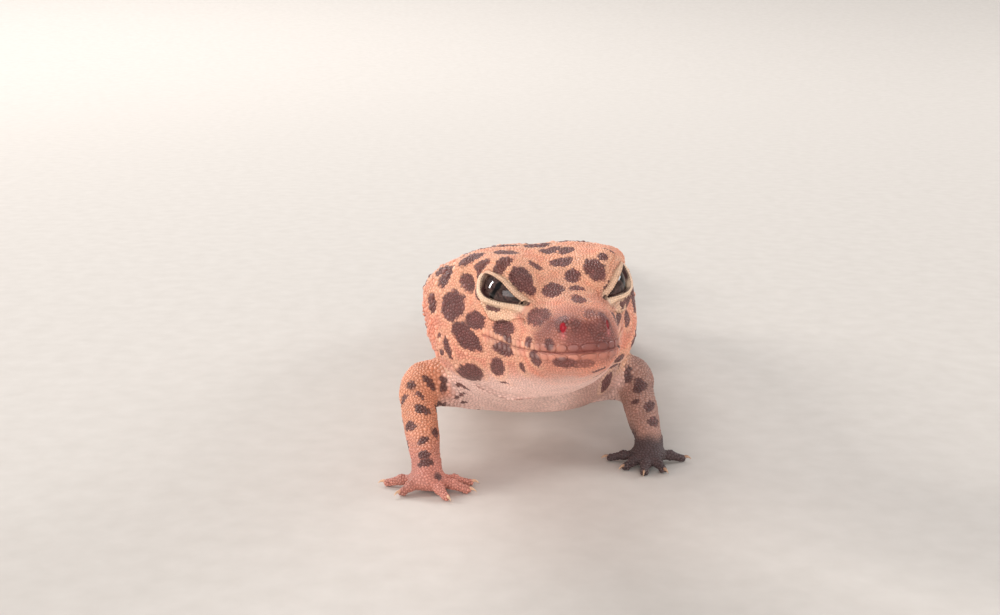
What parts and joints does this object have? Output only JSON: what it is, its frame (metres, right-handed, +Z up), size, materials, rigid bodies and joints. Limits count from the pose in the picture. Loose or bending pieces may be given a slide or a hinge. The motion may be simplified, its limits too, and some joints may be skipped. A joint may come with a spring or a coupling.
{
  "type": "leopard gecko",
  "caption": "Life-size leopard gecko standing on the floor with its head raised and turned slightly to one side, a still model with no joints.",
  "frame": {"origin": "on the floor, under the middle of the animal's bounding box", "axes": "+Z up, -Y the way the gecko faces, +X its left side"},
  "size_m": [0.0432, 0.1962, 0.0349],
  "materials": {
    "spotted_skin": "matt fine granular scales, orange-pink ground with dark brown blotches, paler below",
    "eye": "wet gloss, dark iris with an upright slit pupil",
    "claw": "smooth tan horn"
  },
  "bodies": {
    "root": {"head": "spotted_skin", "lower_jaw": "spotted_skin", "neck": "spotted_skin", "trunk_front": "spotted_skin", "trunk_rear": "spotted_skin", "tail_base": "spotted_skin", "tail_middle": "spotted_skin", "tail_tip": "spotted_skin", "left_eye": "eye", "left_ear": "spotted_skin", "left_upper_arm": "spotted_skin", "left_forearm": "spotted_skin", "left_front_foot": "spotted_skin", "left_thigh": "spotted_skin", "left_shin": "spotted_skin", "left_hind_foot": "spotted_skin", "left_front_claw_1": "claw", "left_front_claw_2": "claw", "left_front_claw_3": "claw", "left_front_claw_4": "claw", "left_front_claw_5": "claw", "left_hind_claw_1": "claw", "left_hind_claw_2": "claw", "left_hind_claw_3": "claw", "left_hind_claw_4": "claw", "left_hind_claw_5": "claw", "right_eye": "eye", "right_ear": "spotted_skin", "right_upper_arm": "spotted_skin", "right_forearm": "spotted_skin", "right_front_foot": "spotted_skin", "right_thigh": "spotted_skin", "right_shin": "spotted_skin", "right_hind_foot": "spotted_skin", "right_front_claw_1": "claw", "right_front_claw_2": "claw", "right_front_claw_3": "claw", "right_front_claw_4": "claw", "right_front_claw_5": "claw", "right_hind_claw_1": "claw", "right_hind_claw_2": "claw", "right_hind_claw_3": "claw", "right_hind_claw_4": "claw", "right_hind_claw_5": "claw"}
  },
  "joints": []
}
